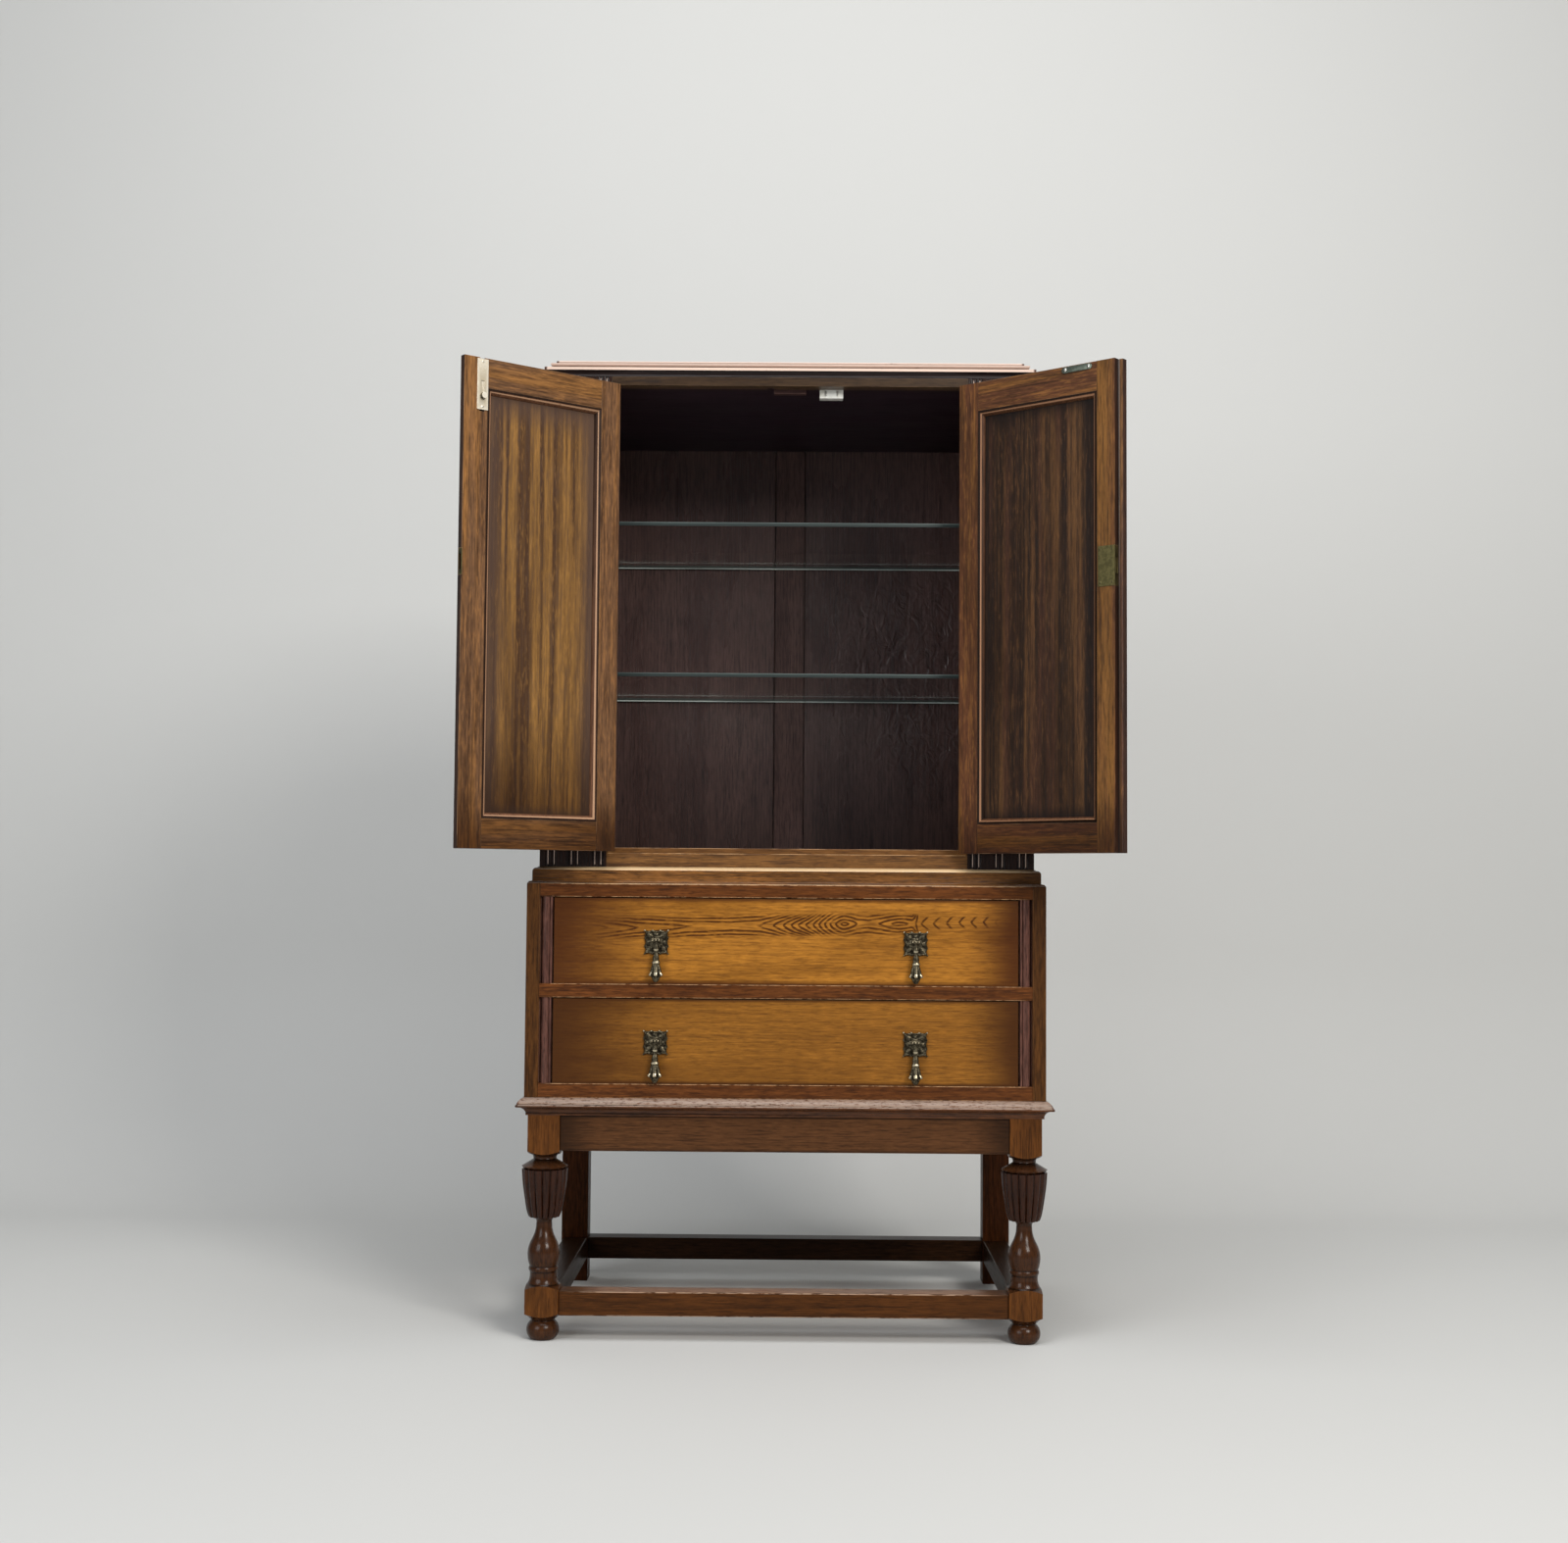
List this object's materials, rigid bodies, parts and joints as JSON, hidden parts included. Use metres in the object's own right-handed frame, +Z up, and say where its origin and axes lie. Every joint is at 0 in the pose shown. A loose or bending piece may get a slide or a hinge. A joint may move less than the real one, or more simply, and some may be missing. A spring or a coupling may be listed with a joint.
{
  "type": "drinks cabinet",
  "caption": "Dark oak drinks cabinet: a cupboard with doors and glass shelves on a chest of drawers, standing on turned front legs joined by stretchers.",
  "frame": {"origin": "on the floor, at the middle of the bounding box seen from above, with both doors open as in the rest pose", "axes": "+Z up, -Y out of the front, +X to the right of a person who faces the front"},
  "size_m": [0.9047, 0.6576, 1.3975],
  "materials": {
    "stained_oak": "dark stained oak, satin polish",
    "dark_oak": "dark stained oak, polished, worn pale on the edges",
    "golden_oak": "golden brown oak, glossy polish",
    "interior_oak": "dark stained, matt to satin",
    "antique_bronze": "cast, dark patina with bright high points",
    "aged_brass": "tarnished brass",
    "steel": "dull zinc-plated steel",
    "nickel": "dull nickel plate",
    "white_plastic": "white moulded plastic",
    "shelf_glass": "clear float glass, ground edge"
  },
  "bodies": {
    "carcass": {"back_muntin": "interior_oak", "back_panels": "interior_oak", "base_moulding": "dark_oak", "chest_back": "interior_oak", "chest_rails": "stained_oak", "chest_sides": "stained_oak", "chest_stiles": "stained_oak", "cornice_moulding": "dark_oak", "cupboard_ceiling": "interior_oak", "cupboard_floor": "interior_oak", "cupboard_rails": "stained_oak", "cupboard_sides": "stained_oak", "door_stops": "interior_oak", "drawer_runners": "interior_oak", "dust_boards": "interior_oak", "front_apron": "stained_oak", "front_leg_left": "dark_oak", "front_leg_right": "dark_oak", "front_stretcher": "stained_oak", "glass_shelves": "shelf_glass", "hinge_frame_leaves": "aged_brass", "magnetic_catch": "white_plastic", "pilasters": "stained_oak", "rear_legs": "stained_oak", "reeded_strips": "dark_oak", "shelf_pins": "aged_brass", "side_and_rear_aprons": "stained_oak", "side_and_rear_stretchers": "stained_oak", "stop_block": "interior_oak", "top_board": "stained_oak", "waist_board": "interior_oak", "waist_moulding": "dark_oak"},
    "left_door": {"left_door_stiles": "stained_oak", "left_door_rails": "stained_oak", "left_door_panel": "stained_oak", "left_door_beading": "dark_oak", "left_hinge_door_leaves": "aged_brass", "bolt_plate": "nickel", "lock_keeper": "aged_brass"},
    "right_door": {"right_door_stiles": "stained_oak", "right_door_rails": "stained_oak", "right_door_panel": "stained_oak", "right_door_beading": "dark_oak", "right_hinge_door_leaves": "aged_brass", "lock_case": "aged_brass", "escutcheon": "aged_brass", "strike_plate": "steel"},
    "top_bolt": {"top_bolt": "nickel"},
    "lock_bolt": {"lock_bolt": "aged_brass"},
    "upper_drawer": {"upper_drawer_front": "golden_oak", "upper_drawer_box": "interior_oak", "upper_pull_plates": "antique_bronze"},
    "upper_left_drop": {"upper_drop_left": "antique_bronze"},
    "upper_right_drop": {"upper_drop_right": "antique_bronze"},
    "lower_drawer": {"lower_drawer_front": "golden_oak", "lower_drawer_box": "interior_oak", "lower_pull_plates": "antique_bronze"},
    "lower_left_drop": {"lower_drop_left": "antique_bronze"},
    "lower_right_drop": {"lower_drop_right": "antique_bronze"}
  },
  "joints": [
    {"name": "left_door_hinge", "type": "hinge", "parent": "carcass", "child": "left_door", "pos_m": [-0.2562, -0.1471, 1.0215], "axis": [0, 0, -1], "range_deg": [-141, 19]},
    {"name": "right_door_hinge", "type": "hinge", "parent": "carcass", "child": "right_door", "pos_m": [0.2562, -0.1471, 1.0215], "axis": [0, 0, 1], "range_deg": [-140.5, 19.5]},
    {"name": "top_bolt_slide", "type": "slide", "parent": "left_door", "child": "top_bolt", "axis": [0, 0, 1], "range_m": [0, 0.009]},
    {"name": "lock_bolt_slide", "type": "slide", "parent": "right_door", "child": "lock_bolt", "axis": [0.7716, -0.6361, 0], "range_m": [0, 0.006]},
    {"name": "upper_drawer_slide", "type": "slide", "parent": "carcass", "child": "upper_drawer", "axis": [0, -1, 0], "range_m": [0, 0.3]},
    {"name": "upper_left_drop_hinge", "type": "hinge", "parent": "upper_drawer", "child": "upper_left_drop", "pos_m": [-0.183, -0.17, 0.56225], "axis": [-1, 0, 0], "range_deg": [0, 85]},
    {"name": "upper_right_drop_hinge", "type": "hinge", "parent": "upper_drawer", "child": "upper_right_drop", "pos_m": [0.183, -0.17, 0.56225], "axis": [-1, 0, 0], "range_deg": [0, 85]},
    {"name": "lower_drawer_slide", "type": "slide", "parent": "carcass", "child": "lower_drawer", "axis": [0, -1, 0], "range_m": [0, 0.3]},
    {"name": "lower_left_drop_hinge", "type": "hinge", "parent": "lower_drawer", "child": "lower_left_drop", "pos_m": [-0.183, -0.17, 0.42125], "axis": [-1, 0, 0], "range_deg": [0, 85]},
    {"name": "lower_right_drop_hinge", "type": "hinge", "parent": "lower_drawer", "child": "lower_right_drop", "pos_m": [0.183, -0.17, 0.42125], "axis": [-1, 0, 0], "range_deg": [0, 85]}
  ]
}
